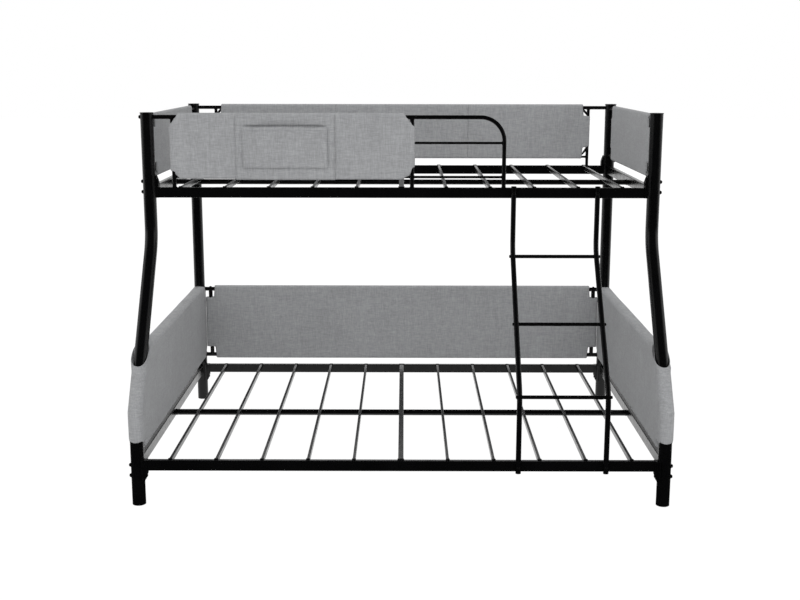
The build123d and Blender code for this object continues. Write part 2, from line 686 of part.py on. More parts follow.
def covers():
    front_outline = chamfered_outline(FRONT_COVER_LEFT, FRONT_COVER_RIGHT, FRONT_COVER_LOW_Z, COVER_TOP_Z,
                                      FRONT_CORNERS)
    rear_outline = notched_outline(-REAR_COVER_X, REAR_COVER_X, COVER_LOW_Z, COVER_TOP_Z,
                                   (REAR_NOTCH_W, REAR_NOTCH_W), NOTCH_H)
    back_outline = notched_outline(-BACK_COVER_X, BACK_COVER_X, BACK_COVER_LOW, BACK_COVER_TOP,
                                   (BACK_NOTCH_W, BACK_NOTCH_W), BACK_NOTCH_H)
    back_bars = back_tube_bars()
    for side in SIDES.values():
        x = side * BACK_UPRIGHT_X
        back_bars.append(round_bar((x, Y_REAR, PANEL_LOW_Z), (x, Y_REAR, PANEL_TOP_Z), PANEL_TUBE_D))
    front = panel_cover(front_outline, facing_front(Y_UP), COVER_T)
    rear = panel_cover(rear_outline, facing_front(Y_REAR), COVER_T)
    back = panel_cover(back_outline, facing_front(Y_REAR), BACK_COVER_T)
    nodes = {
        "front_guard_cover": cut_all(front, guard_bars(Y_UP)),
        "rear_guard_cover": cut_all(rear, guard_bars(Y_REAR) + brace_slits()),
        "back_panel_cover": cut_all(back, back_bars),
    }
    end_outline = notched_outline(Y_UP + POST_R + END_COVER_GAP, Y_REAR - END_COVER_REAR, END_COVER_LOW,
                                  END_COVER_TOP, END_NOTCH_WS, END_NOTCH_H)
    for name, side in SIDES.items():
        x = side * X_POST
        bars = [round_bar((x, Y_UP, z), (x, Y_REAR, z), END_TUBE_D) for z in (UP_END_TOP_Z, UP_END_LOW_Z)]
        bars += [round_bar((x, y, UP_END_LOW_Z), (x, y, UP_END_TOP_Z), END_UPRIGHT_D) for y in END_UPRIGHTS]
        cover = panel_cover(end_outline, facing_side(x), COVER_T)
        nodes[f"upper_{name}_end_cover"] = cut_all(cover, bars)
        nodes[f"lower_{name}_end_cover"] = lower_end_cover(side)
    return nodes


def storage_pocket():
    """A flat pouch on the front guard's cover, open along its top."""
    back = Y_UP - COVER_T / 2
    front = back - POCKET_GAP - POCKET_CLOTH
    pouch = box_between((POCKET_LEFT, front, POCKET_LOW_Z), (POCKET_RIGHT, back, POCKET_TOP_Z))
    pouch = fillet(pouch.faces().sort_by(Axis.Y)[0].edges(), POCKET_EDGE)
    space = box_between((POCKET_LEFT + POCKET_CLOTH, back - POCKET_GAP, POCKET_LOW_Z + POCKET_CLOTH),
                        (POCKET_RIGHT - POCKET_CLOTH, back, POCKET_TOP_Z))
    return {"storage_pocket": pouch - space}


def ladder():
    offset_y = RAIL_W / 2 + LADDER_D / 2
    top_y, low_y = Y_UP - offset_y, Y_LOW - offset_y
    rails = {"left": LADDER_LEFT_X, "right": LADDER_LEFT_X + LADDER_WIDTH}

    def axis_y(z):
        share = (z - LADDER_BEND_LOW) / (LADDER_BEND_TOP - LADDER_BEND_LOW)
        return low_y + min(max(share, 0.0), 1.0) * (top_y - low_y)

    def points(x):
        return [(x, low_y, LADDER_LOW_Z), (x, low_y, LADDER_BEND_LOW),
                (x, top_y, LADDER_BEND_TOP), (x, top_y, LADDER_TOP_Z)]

    solids = [bent_bar(points(x), LADDER_D, LADDER_BEND_R) for x in rails.values()]
    radius = LADDER_D / 2
    rungs, knobs, bolts, shanks = [], [], [], []
    for z in RUNG_HEIGHTS:
        y = axis_y(z)
        rung = round_tube((rails["left"], y, z), (rails["right"], y, z), RUNG_D, RUNG_WALL)
        rungs.append(cut_all(rung, solids))
        for x, out in ((rails["left"], LEFT), (rails["right"], RIGHT)):
            seat = x + out * (radius + LADDER_WASHER_T)
            head = Plane(origin=(seat, y, z), z_dir=(out, 0, 0)) * bolt_head(KNOB_D, KNOB_H)
            shank = round_bar((seat, y, z), (x - out * (radius + RUNG_THREAD), y, z), LADDER_BOLT_D)
            shoulder = cut_all(round_bar((x, y, z), (seat, y, z), KNOB_D), solids)
            knobs.append(shoulder + shank + head)
            shanks.append(shank)
    for x in rails.values():
        for y, z in ((top_y, UP_RAIL_TOP - UP_RAIL_H / 2), (low_y, LOW_RAIL_TOP - LOW_RAIL_H / 2)):
            seat = y - radius - LADDER_WASHER_T
            head = facing_front(seat).location * Pos(x, z, 0) * bolt_head(LADDER_HEAD_D, LADDER_HEAD_H)
            shank = round_bar((x, seat, z), (x, y + radius + LADDER_THREAD, z), LADDER_BOLT_D)
            shoulder = cut_all(round_bar((x, y, z), (x, seat, z), LADDER_HEAD_D), solids)
            bolts.append(shoulder + shank + head)
            shanks.append(shank)
    nodes = {"ladder_rungs": group(rungs), "ladder_rung_bolts": group(knobs), "ladder_bolts": group(bolts)}
    for name, x in rails.items():
        tube = bent_tube(points(x), LADDER_D, LADDER_WALL, LADDER_BEND_R)
        nodes[f"ladder_{name}_rail"] = cut_all(tube, shanks)
    return nodes, shanks


def build():
    nodes = {}
    for make in (posts, post_ends, rails, brackets, frame_fasteners, decks, guards, panel_frames, covers,
                 storage_pocket):
        nodes.update(make())
    ladder_nodes, ladder_shanks = ladder()
    nodes.update(ladder_nodes)
    for name in ("upper_front_rail", "lower_front_rail"):
        nodes[name] = cut_all(nodes[name], ladder_shanks)
    return nodes


def main():
    os.makedirs("parts", exist_ok=True)
    nodes = build()
    for name, shape in nodes.items():
        export_step(shape, f"parts/{name}.step")
        box = shape.bounding_box()
        print(f"{name:26s} {len(shape.solids()):3d} solids  {shape.volume / 1000:9.1f} cm3  "
              f"x {box.min.X:8.1f} {box.max.X:8.1f}  y {box.min.Y:7.1f} {box.max.Y:7.1f}  "
              f"z {box.min.Z:7.1f} {box.max.Z:7.1f}")


if __name__ == "__main__":
    main()
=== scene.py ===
import json
import math

import bmesh
import bpy
import numpy as np
from mathutils import Matrix, Vector, noise

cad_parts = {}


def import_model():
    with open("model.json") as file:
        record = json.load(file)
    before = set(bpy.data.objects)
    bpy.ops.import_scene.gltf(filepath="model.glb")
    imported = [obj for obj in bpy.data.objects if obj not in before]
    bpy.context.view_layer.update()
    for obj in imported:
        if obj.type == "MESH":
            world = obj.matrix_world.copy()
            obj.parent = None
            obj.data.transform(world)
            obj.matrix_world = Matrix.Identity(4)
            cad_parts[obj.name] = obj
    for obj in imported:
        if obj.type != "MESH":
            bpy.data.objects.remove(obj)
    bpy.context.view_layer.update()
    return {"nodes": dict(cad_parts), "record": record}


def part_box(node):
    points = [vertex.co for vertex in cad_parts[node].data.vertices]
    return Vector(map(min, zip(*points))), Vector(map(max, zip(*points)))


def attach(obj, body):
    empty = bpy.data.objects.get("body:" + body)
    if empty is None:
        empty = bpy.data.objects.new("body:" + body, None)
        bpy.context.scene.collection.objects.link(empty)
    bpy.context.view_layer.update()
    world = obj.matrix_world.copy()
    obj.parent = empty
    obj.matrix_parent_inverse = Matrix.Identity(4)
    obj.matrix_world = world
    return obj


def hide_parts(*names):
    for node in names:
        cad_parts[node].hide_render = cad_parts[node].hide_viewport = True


# The looks of a steel bunk bed with woven covers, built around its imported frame. Metres, +Z up.
# Each cover is a closed sleeve of cloth, and its outline comes from the node that it replaces.

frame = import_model()
NODES = frame["nodes"]

# The photograph's camera
CAMERA_AT = Vector((0.0105, -4.8573, 1.613))
CAMERA_YAW = math.radians(-0.196)       # towards -X
CAMERA_PITCH = math.radians(-11.376)
CAMERA_ROLL = math.radians(0.067)
CAMERA_LENS = 52.785
SENSOR = 36.0

X_AXIS, Y_AXIS, Z_AXIS = Vector((1, 0, 0)), Vector((0, 1, 0)), Vector((0, 0, 1))

# Sizes shared with the frame
POST_R = 0.025
GUARD_R = 0.008
ROD_R = 0.005
REAR_UPRIGHT_R = 0.007
PANEL_TUBE_R = 0.0095

# The places of the frame's tubes, read from their nodes
REAR_Y = sum(c.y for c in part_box("upper_rear_left_post")) / 2
UPPER_Y = sum(c.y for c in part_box("upper_front_left_post")) / 2
POST_X = sum(c.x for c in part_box("upper_front_right_post")) / 2
LOWER_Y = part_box("foot_caps")[0].y + POST_R
UP_RAIL_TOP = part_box("upper_front_rail")[1].z

# Colours, linear
CLOTH_GREY = (0.285, 0.289, 0.296)
PAINT_BLACK = (0.0014, 0.0014, 0.0016)
THREAD_GREY = (0.20, 0.203, 0.21)
REAR_PAINTED_LIGHT = 1.10            # painted light: the rear and back covers' cloth is drawn this much lighter than the front one's, though it is the same cloth
PAINT_IOR = 1.32

# How finely the cloth's noise repeats per metre, along the cloth's level axis and upwards
WEFT, WARP = (42, 330), (330, 38)
WEFT_SLUBS, WARP_SLUBS = (14, 110), (110, 9)
YARN_WAVES = 240.0          # yarns about 1.3 mm apart


# Materials

def new_material(name):
    material = bpy.data.materials.new(name)
    material.use_nodes = True
    tree = material.node_tree
    tree.nodes.clear()
    output = tree.nodes.new("ShaderNodeOutputMaterial")
    shader = tree.nodes.new("ShaderNodeBsdfPrincipled")
    tree.links.new(shader.outputs[0], output.inputs[0])
    return material, tree, shader


def object_coordinates(tree, scale):
    """Object coordinates, stretched by scale along X, Y and Z."""
    source = tree.nodes.new("ShaderNodeTexCoord")
    mapping = tree.nodes.new("ShaderNodeMapping")
    mapping.inputs["Scale"].default_value = scale
    tree.links.new(source.outputs["Object"], mapping.inputs["Vector"])
    return mapping.outputs[0]


def noise_value(tree, vector, scale, detail=2.0):
    texture = tree.nodes.new("ShaderNodeTexNoise")
    texture.inputs["Scale"].default_value = scale
    texture.inputs["Detail"].default_value = detail
    tree.links.new(vector, texture.inputs["Vector"])
    return texture.outputs["Fac"]


def remap(tree, value, low, high, from_low=0.3, from_high=0.7):
    node = tree.nodes.new("ShaderNodeMapRange")
    node.inputs["From Min"].default_value = from_low
    node.inputs["From Max"].default_value = from_high
    node.inputs["To Min"].default_value = low
    node.inputs["To Max"].default_value = high
    tree.links.new(value, node.inputs["Value"])
    return node.outputs[0]


def math_node(tree, operation, first, second):
    node = tree.nodes.new("ShaderNodeMath")
    node.operation = operation
    for socket, value in zip(node.inputs, (first, second)):
        if isinstance(value, (int, float)):
            socket.default_value = value
        else:
            tree.links.new(value, socket)
    return node.outputs[0]


def scaled_colour(tree, colour, factor):
    """The colour times a factor that varies over the surface."""
    node = tree.nodes.new("ShaderNodeVectorMath")
    node.operation = "SCALE"
    node.inputs[0].default_value = colour
    tree.links.new(factor, node.inputs["Scale"])
    return node.outputs[0]


def add_bump(tree, shader, height, strength, distance):
    node = tree.nodes.new("ShaderNodeBump")
    node.inputs["Strength"].default_value = strength
    node.inputs["Distance"].default_value = distance
    tree.links.new(height, node.inputs["Height"])
    tree.links.new(node.outputs[0], shader.inputs["Normal"])


def paint_material(name, colour, roughness, grain=900.0):
    """Powder paint: faint orange peel, small differences in gloss and a little dust."""
    material, tree, shader = new_material(name)
    vector = object_coordinates(tree, (1, 1, 1))
    dust = remap(tree, noise_value(tree, vector, 9.0, 4.0), 0.85, 1.35)
    tree.links.new(scaled_colour(tree, colour, dust), shader.inputs["Base Color"])
    gloss = remap(tree, noise_value(tree, vector, 38.0, 3.0), roughness - 0.04, roughness + 0.06)
    tree.links.new(gloss, shader.inputs["Roughness"])
    shader.inputs["IOR"].default_value = PAINT_IOR
    add_bump(tree, shader, noise_value(tree, vector, grain, 1.0), 0.08, 0.00015)
    return material


def zinc_material():
    """Plated steel with fine drawn lines."""
    material, tree, shader = new_material("zinc_steel")
    lines = noise_value(tree, object_coordinates(tree, (900, 900, 12)), 1.0, 2.0)
    tree.links.new(scaled_colour(tree, (0.42, 0.43, 0.44), remap(tree, lines, 0.85, 1.1)),
                   shader.inputs["Base Color"])
    tree.links.new(remap(tree, lines, 0.28, 0.42), shader.inputs["Roughness"])
    shader.inputs["Metallic"].default_value = 1.0
    return material


def linen_material(name, across, painted_light_factor=1.0):
    """A plain weave of uneven yarns. across is the level axis of the cloth's flat part, X or Y. The last
    argument scales the cloth's colour; above 1 it is painted light on the same cloth.
    """
    material, tree, shader = new_material(name)
    along_x = across == "X"

    def streaks(level, upright, detail):
        stretch = (level, 1, upright) if along_x else (level, level, upright)
        return noise_value(tree, object_coordinates(tree, stretch), 1.0, detail)

    weft = streaks(*WEFT, 3.0)
    warp = streaks(*WARP, 3.0)
    weft_slub = streaks(*WEFT_SLUBS, 2.0)
    warp_slub = streaks(*WARP_SLUBS, 2.0)
    mottle = noise_value(tree, object_coordinates(tree, (1, 1, 1)), 5.0, 3.0)
    yarns = math_node(tree, "MULTIPLY", remap(tree, weft, 0.89, 1.11), remap(tree, warp, 0.89, 1.11))
    slubs = math_node(tree, "MULTIPLY", remap(tree, weft_slub, 0.96, 1.04),
                      remap(tree, warp_slub, 0.96, 1.04))
    tint = math_node(tree, "MULTIPLY", math_node(tree, "MULTIPLY", yarns, slubs),
                     remap(tree, mottle, 0.97, 1.03))
    colour = scaled_colour(tree, tuple(painted_light_factor * c for c in CLOTH_GREY), tint)
    tree.links.new(colour, shader.inputs["Base Color"])
    tree.links.new(remap(tree, weft, 0.84, 0.95), shader.inputs["Roughness"])
    shader.inputs["Sheen Weight"].default_value = 0.12
    shader.inputs["Sheen Roughness"].default_value = 0.5
    shader.inputs["Specular IOR Level"].default_value = 0.2
    height = math_node(tree, "ADD", weave_waves(tree, along_x), math_node(tree, "ADD", weft, warp))
    add_bump(tree, shader, height, 0.35, 0.0005)
    return material


def weave_waves(tree, along_x):
    """The over and under of single yarns, both ways."""
    waves = []
    for direction in ("X" if along_x else "Y", "Z"):
        wave = tree.nodes.new("ShaderNodeTexWave")
        wave.bands_direction = direction
        wave.inputs["Scale"].default_value = YARN_WAVES
        wave.inputs["Distortion"].default_value = 1.5
        wave.inputs["Detail"].default_value = 1.0
        tree.links.new(object_coordinates(tree, (1, 1, 1)), wave.inputs["Vector"])
        waves.append(wave.outputs["Fac"])
    return math_node(tree, "MULTIPLY", waves[0], waves[1])


def thread_material():
    """Twisted sewing thread."""
    material, tree, shader = new_material("thread")
    twist = noise_value(tree, object_coordinates(tree, (1, 1, 1)), 2500.0, 1.0)
    colour = scaled_colour(tree, THREAD_GREY, remap(tree, twist, 0.8, 1.2))
    tree.links.new(colour, shader.inputs["Base Color"])
    shader.inputs["Roughness"].default_value = 0.7
    add_bump(tree, shader, twist, 0.4, 0.0002)
    return material


PAINT = paint_material("black_paint", PAINT_BLACK, 0.24)
BOLT_BLACK = paint_material("bolt_black", (0.002, 0.002, 0.002), 0.32, 2000.0)
PLASTIC = paint_material("cap_plastic", (0.0025, 0.0025, 0.0025), 0.46, 1500.0)
ZINC = zinc_material()
LINEN_FRONT = linen_material("linen_facing_y", "X")
# A lighter copy of the same cloth for the rear guard and back panel covers: painted light, where the lamps
# leave them darker.
LINEN_REAR_PAINTED_LIGHTER = linen_material("linen_at_rear_painted_lighter", "X", REAR_PAINTED_LIGHT)
LINEN_SIDE = linen_material("linen_facing_x", "Y")
THREAD = thread_material()
SLOT_MATERIALS = {
    "frame_paint": PAINT, "zinc_steel": ZINC, "black_fasteners": BOLT_BLACK, "black_plastic": PLASTIC,
    "grey_linen": LINEN_FRONT,
}


def dress_frame():
    """Every node that stays gets the material of its slot."""
    for part in frame["record"]["subparts"]:
        node = NODES[part["node"]]
        node.data.materials.clear()
        node.data.materials.append(SLOT_MATERIALS[part["material_slot"]])


# Mesh helpers

HARD_ANGLE, CLOTH_ANGLE = 40.0, 60.0    # edges sharper than this stay sharp, in degrees
ARC_STEPS = 4
ARC_REACH = 0.45                        # the share of an edge that a rounded corner may take
EDGE_STEPS = (0.0008, 0.0022, 0.0045, 0.008)
SEAM_STEPS = (-0.004, -0.002, -0.001, 0.0, 0.001, 0.002, 0.004)
SLANT_STEPS = (0.0012, 0.0045, 0.010, 0.018)
SLANT_LEAST = 0.03                      # the least rise and run of an edge that gets slanting lines
LINE_GAP = 0.0004                       # lines closer than this are one
ON_RIM = 1e-5


def piece(name, bm, material, smooth_angle=HARD_ANGLE):
    """A mesh from bm as a piece of the object. Edges sharper than smooth_angle stay sharp."""
    bmesh.ops.recalc_face_normals(bm, faces=bm.faces[:])
    mesh = bpy.data.meshes.new(name)
    bm.to_mesh(mesh)
    bm.free()
    mesh.materials.append(material)
    mesh.shade_smooth()
    mesh.set_sharp_from_angle(angle=math.radians(smooth_angle))
    made = bpy.data.objects.new(name, mesh)
    bpy.context.scene.collection.objects.link(made)
    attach(made, "root")
    return made


def facing_y(y):
    """Places a cloth's (level, upright, out) coordinates on the plane at Y, out towards -Y."""
    return lambda u, v, w: Vector((u, y - w, v))


def facing_x(x):
    return lambda u, v, w: Vector((x + w, u, v))


def rounded(outline, radius):
    """The outline with each corner turned into an arc, as far as its two edges leave room."""
    points = []
    count = len(outline)
    for i, corner in enumerate(outline):
        here = Vector(corner)
        to_last = (Vector(outline[i - 1]) - here)
        to_next = (Vector(outline[(i + 1) % count]) - here)
        turn = math.pi - to_last.angle(to_next)
        reach = min(radius * math.tan(turn / 2), ARC_REACH * to_last.length, ARC_REACH * to_next.length)
        start = here + to_last.normalized() * reach
        end = here + to_next.normalized() * reach
        for step in range(ARC_STEPS + 1):
            t = step / ARC_STEPS
            points.append(tuple((1 - t) ** 2 * start + 2 * t * (1 - t) * here + t ** 2 * end))
    return points


def edge_distances(outline, points):
    """For each edge of the outline, its middle and each point's distance to it."""
    points = np.asarray(points)
    corners = np.asarray(outline)
    for a, b in zip(corners, np.roll(corners, -1, axis=0)):
        edge = b - a
        t = np.clip((points - a) @ edge / max(edge @ edge, 1e-12), 0, 1)
        yield (a + b) / 2, np.linalg.norm(points - a - t[:, None] * edge, axis=1)


def distance_to(outline, points):
    """Each point's distance to the nearest edge of the outline."""
    return np.min([distance for _, distance in edge_distances(outline, points)], axis=0)


def rounding(outline, points, radius_at):
    """The share of the full thickness that each point has, round off towards the rim with radius_at(edge)."""
    shares = []
    for middle, distance in edge_distances(outline, points):
        inside = np.minimum(distance / radius_at(*middle), 1.0)
        shares.append(np.sqrt(1 - (1 - inside) ** 2))
    return np.min(shares, axis=0)


def cut_along(bm, at, across):
    """Cuts a flat mesh along the line through at that is square to across."""
    bmesh.ops.bisect_plane(bm, geom=bm.verts[:] + bm.edges[:] + bm.faces[:], plane_co=at, plane_no=across,
                           dist=1e-6)


def grid_lines(low, high, pitch):
    count = max(2, round((high - low) / pitch))
    return [low + (high - low) * i / count for i in range(1, count)]


def spaced(lines):
    """The lines in order, without those that nearly touch the one before."""
    kept = []
    for line in sorted(lines):
        if not kept or line - kept[-1] > LINE_GAP:
            kept.append(line)
    return kept


def flat_cloth(outline, corners, pitch, seams_u=(), seams_v=()):
    """The outline's area as a flat mesh, fine beside its edges and seams. The corners go anticlockwise."""
    bm = bmesh.new()
    bm.faces.new([bm.verts.new((u, v, 0)) for u, v in outline])
    us, vs = [p[0] for p in outline], [p[1] for p in outline]
    lines_u = grid_lines(min(us), max(us), pitch)
    lines_v = grid_lines(min(vs), max(vs), pitch)
    for corner in corners:
        lines_u += [corner[0] + sign * step for step in EDGE_STEPS for sign in (-1, 1)]
        lines_v += [corner[1] + sign * step for step in EDGE_STEPS for sign in (-1, 1)]
    lines_u += [seam + step for seam in seams_u for step in SEAM_STEPS]
    lines_v += [seam + step for seam in seams_v for step in SEAM_STEPS]
    for u in spaced(lines_u):
        cut_along(bm, (u, 0, 0), X_AXIS)
    for v in spaced(lines_v):
        cut_along(bm, (0, v, 0), Y_AXIS)
    for a, b in zip(corners, corners[1:]):
        if min(abs(a[0] - b[0]), abs(a[1] - b[1])) > SLANT_LEAST:
            inward = Vector((a[1] - b[1], b[0] - a[0], 0)).normalized()
            for step in SLANT_STEPS:
                cut_along(bm, Vector((*a, 0)) + inward * step, inward)
    return bm


def sleeve(name, corners, radius, place, half, edge_r, material, pitch=0.012, seams_u=(), seams_v=()):
    """A closed sleeve of cloth. half(u, v, side) is half its thickness; edge_r(u, v) rounds off its rim."""
    outline = rounded(corners, radius)
    flat = flat_cloth(outline, corners, pitch, seams_u, seams_v)
    flat.verts.ensure_lookup_table()
    places = [(v.co.x, v.co.y) for v in flat.verts]
    rim = distance_to(outline, places) < ON_RIM
    shares = rounding(outline, places, edge_r)
    bm = bmesh.new()
    sheets = []
    for side in (1, -1):
        sheet = []
        for i, (u, v) in enumerate(places):
            if rim[i]:
                sheet.append(sheets[0][i] if sheets else bm.verts.new(place(u, v, 0.0)))
                continue
            sheet.append(bm.verts.new(place(u, v, side * half(u, v, side) * shares[i])))
        sheets.append(sheet)
    for face in flat.faces:
        for side, sheet in zip((1, -1), sheets):
            corner_verts = [sheet[v.index] for v in face.verts]
            bm.faces.new(corner_verts if side > 0 else corner_verts[::-1])
    flat.free()
    made = piece(name, bm, material, CLOTH_ANGLE)
    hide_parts(name.removesuffix("_cloth"))
    return made


def ripple(u, v, seed, size):
    """A soft irregular wave from -1 to 1, about size across."""
    return noise.noise(Vector((u / size, v / size, seed)))


def bump_at(x, middle, width):
    return math.exp(-((x - middle) / width) ** 2)


def between(x, low, high):
    """0 to 1 as x goes from low to high, smoothly."""
    t = min(max((x - low) / (high - low), 0.0), 1.0)
    return t * t * (3 - 2 * t)


# Covers

SEAM_WIDTH = 0.0016
SEAM_DEPTH = 0.0028
CLOTH_OVER_BAR = 0.0009
RIPPLE_DEPTH = 0.0009
BAR_FADE = 0.04             # how far beside a bar the cloth comes down again
THIN_EDGE_R = 0.009
GUARD_SINK_W = 0.09         # how wide the upper covers sink in between their tubes
BACK_SINK_W = 0.13
LOWER_END_SINK_W = 0.12


def thin_edge(u, v):
    return THIN_EDGE_R


def over_bars(x, bars, radius):
    """The least half thickness at x that clears the upright bars inside the cover."""
    nearest = min(abs(x - bar) for bar in bars)
    return (radius + CLOTH_OVER_BAR) * (1 - between(nearest, radius, radius + BAR_FADE))


def seam_dent(x, seams):
    return -SEAM_DEPTH * sum(bump_at(x, seam, SEAM_WIDTH) for seam in seams)


def sunk(v, low, high, depth, width):
    """How far the cloth sinks in between its lower and its upper edge."""
    return depth * bump_at(v, (low + high) / 2, width)


def notched(low, high, notch_ws, notch_h):
    """A panel's corners, with a splayed notch in each, from its lowest and highest corner."""
    (left, bottom), (right, top) = low, high
    a, b = left + notch_ws[0], right - notch_ws[1]
    return [(a + NOTCH_SPLAY, bottom), (b - NOTCH_SPLAY, bottom), (b, bottom + notch_h),
            (right, bottom + notch_h), (right, top - notch_h), (b, top - notch_h), (b - NOTCH_SPLAY, top),
            (a + NOTCH_SPLAY, top), (a, top - notch_h), (left, top - notch_h), (left, bottom + notch_h),
            (a, bottom + notch_h)]


REAR_NOTCH_W, REAR_NOTCH_H = 0.030, 0.053
BACK_NOTCH_W, BACK_NOTCH_H = 0.0395, 0.056
END_NOTCH_WS, END_NOTCH_H = (0.083, 0.018), 0.053       # wide at the front, narrow at the rear
NOTCH_SPLAY = 0.004
CORNER_R = 0.006
FRONT_CORNER_R = 0.016
GUARD_XS = (-0.880, 0.041, 0.396)       # the front guard's two uprights and its bent leg
REAR_UPRIGHT_X = 0.8735
BACK_UPRIGHT_X = 0.925

POCKET_LOW, POCKET_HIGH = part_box("storage_pocket")
FRONT_SEAMS = (-0.640, -0.256)          # left and right of the pocket's panel
REAR_SEAMS = (-0.31, 0.31)
LEFT_RISE, RIGHT_RISE = 0.0040, 0.0020  # beside the pocket's panel the lower edge is this much higher
RISE_STEP = 0.004                       # the rise takes this far on each side of a seam

# The front cover's slanting corners: how far each goes in from the side, and from the top or bottom
LOW_LEFT_CUT, HIGH_LEFT_CUT = (0.039, 0.036), (0.039, 0.050)
LOW_RIGHT_CUT, LOW_RIGHT_KNEE, HIGH_RIGHT_CUT = (0.052, 0.053), (0.019, 0.016), (0.043, 0.053)

# The dent that the pocket's mouth makes in the front cover: a crease, and a soft hollow above it
MOUTH_ABOVE_POCKET = 0.0028
MOUTH_DENT, MOUTH_DENT_W = 0.0078, 0.0046
MOUTH_HOLLOW, MOUTH_HOLLOW_UP, MOUTH_HOLLOW_W, MOUTH_HOLLOW_L = 0.0055, 0.007, 0.010, 0.11
MOUTH_LINES = 0.008                     # finer mesh this far above and below the crease


def front_guard_cover():
    low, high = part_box("front_guard_cover")
    left, right, bottom, top = low.x, high.x, low.z, high.z
    seam_left, seam_right = FRONT_SEAMS
    low_left, low_right = bottom + LEFT_RISE, bottom + RIGHT_RISE
    corners = [(left + LOW_LEFT_CUT[0], low_left), (seam_left - RISE_STEP, low_left),
               (seam_left + RISE_STEP, bottom), (seam_right - RISE_STEP, bottom),
               (seam_right + RISE_STEP, low_right), (right - LOW_RIGHT_CUT[0], low_right),
               (right - LOW_RIGHT_KNEE[0], low_right + LOW_RIGHT_KNEE[1]),
               (right, low_right + LOW_RIGHT_CUT[1]), (right, top - HIGH_RIGHT_CUT[1]),
               (right - HIGH_RIGHT_CUT[0], top), (left + HIGH_LEFT_CUT[0], top),
               (left, top - HIGH_LEFT_CUT[1]), (left, low_left + LOW_LEFT_CUT[1])]
    full = (high.y - low.y) / 2
    rod_half = full - 0.0035
    mouth_z = POCKET_HIGH.z + MOUTH_ABOVE_POCKET

    def half(u, v, side):
        h = rod_half + (full - rod_half) * between(v, bottom, top)
        h -= sunk(v, bottom, top, 0.0022, GUARD_SINK_W)
        h += RIPPLE_DEPTH * ripple(u, v, 3.1 + side, 0.16) + 0.0004 * ripple(u, v, 8.7 + side, 0.045)
        h = max(h, over_bars(u, GUARD_XS, GUARD_R)) + seam_dent(u, FRONT_SEAMS)
        if side > 0:
            inside = between(u, POCKET_LOW.x - 0.002, POCKET_LOW.x + 0.03)
            inside *= between(-u, -POCKET_HIGH.x - 0.002, -POCKET_HIGH.x + 0.03)
            h -= MOUTH_DENT * inside * bump_at(v, mouth_z, MOUTH_DENT_W)
            hollow = bump_at(u, sum(FRONT_SEAMS) / 2, MOUTH_HOLLOW_L)
            h -= MOUTH_HOLLOW * hollow * bump_at(v, mouth_z + MOUTH_HOLLOW_UP, MOUTH_HOLLOW_W)
        return min(h, full)

    sleeve("front_guard_cover_cloth", corners, FRONT_CORNER_R, facing_y(UPPER_Y), half, thin_edge,
           LINEN_FRONT, seams_u=FRONT_SEAMS, seams_v=(mouth_z, mouth_z + MOUTH_LINES, mouth_z - MOUTH_LINES))
    return half


def rear_guard_cover():
    low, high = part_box("rear_guard_cover")
    corners = notched((low.x, low.z), (high.x, high.z), (REAR_NOTCH_W, REAR_NOTCH_W), REAR_NOTCH_H)
    full = (high.y - low.y) / 2

    def half(u, v, side):
        h = full - 0.004 * (1 - between(v, low.z, high.z)) - sunk(v, low.z, high.z, 0.002, GUARD_SINK_W)
        h += RIPPLE_DEPTH * ripple(u, v, 13.1 + side, 0.2) + seam_dent(u, REAR_SEAMS)
        return min(max(h, over_bars(u, (-REAR_UPRIGHT_X, REAR_UPRIGHT_X), REAR_UPRIGHT_R)), full)

    sleeve("rear_guard_cover_cloth", corners, CORNER_R, facing_y(REAR_Y), half, thin_edge, LINEN_REAR_PAINTED_LIGHTER,
           seams_u=REAR_SEAMS)


def back_panel_cover():
    low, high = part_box("back_panel_cover")
    corners = notched((low.x, low.z), (high.x, high.z), (BACK_NOTCH_W, BACK_NOTCH_W), BACK_NOTCH_H)
    full = (high.y - low.y) / 2

    def half(u, v, side):
        h = full - sunk(v, low.z, high.z, 0.0035, BACK_SINK_W)
        h += 0.0011 * ripple(u, v, 23.1 + side, 0.25)
        return min(max(h, over_bars(u, (-BACK_UPRIGHT_X, BACK_UPRIGHT_X), PANEL_TUBE_R)), full)

    sleeve("back_panel_cover_cloth", corners, CORNER_R, facing_y(REAR_Y), half, thin_edge, LINEN_REAR_PAINTED_LIGHTER)


def upper_end_cover(name):
    node = f"upper_{name}_end_cover"
    low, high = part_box(node)
    corners = notched((low.y, low.z), (high.y, high.z), END_NOTCH_WS, END_NOTCH_H)
    full = (high.x - low.x) / 2

    def half(u, v, side):
        h = full - sunk(v, low.z, high.z, 0.0025, GUARD_SINK_W)
        h += RIPPLE_DEPTH * ripple(u, v, low.x + side, 0.18)
        return min(h, full)

    sleeve(f"{node}_cloth", corners, CORNER_R, facing_x((low.x + high.x) / 2), half, thin_edge, LINEN_SIDE)


# The front post between its two bends
BEND_TOP_Z = 0.935
BEND_LOW_Z = 0.355
MOUTH_Z = 0.498
SLEEVE_LOW_Z = 0.241
SLEEVE_R = 0.028
REAR_TOP_CUT, REAR_LOW_CUT = 0.020, 0.045
OPEN_EDGE_R, LEVEL_EDGE_R = 0.004, 0.012    # where a post comes out, and along the top and bottom
POST_CREASES = (0.058, 0.070)               # upright creases in front of the rear post
CREASE_DEPTH, CREASE_W = 0.0020, 0.0035
POST_FADE = (0.05, 0.20)                    # how far from the posts the cover becomes a panel


def front_post_y(z):
    share = min(max((z - BEND_LOW_Z) / (BEND_TOP_Z - BEND_LOW_Z), 0.0), 1.0)
    return LOWER_Y + share * (UPPER_Y - LOWER_Y)


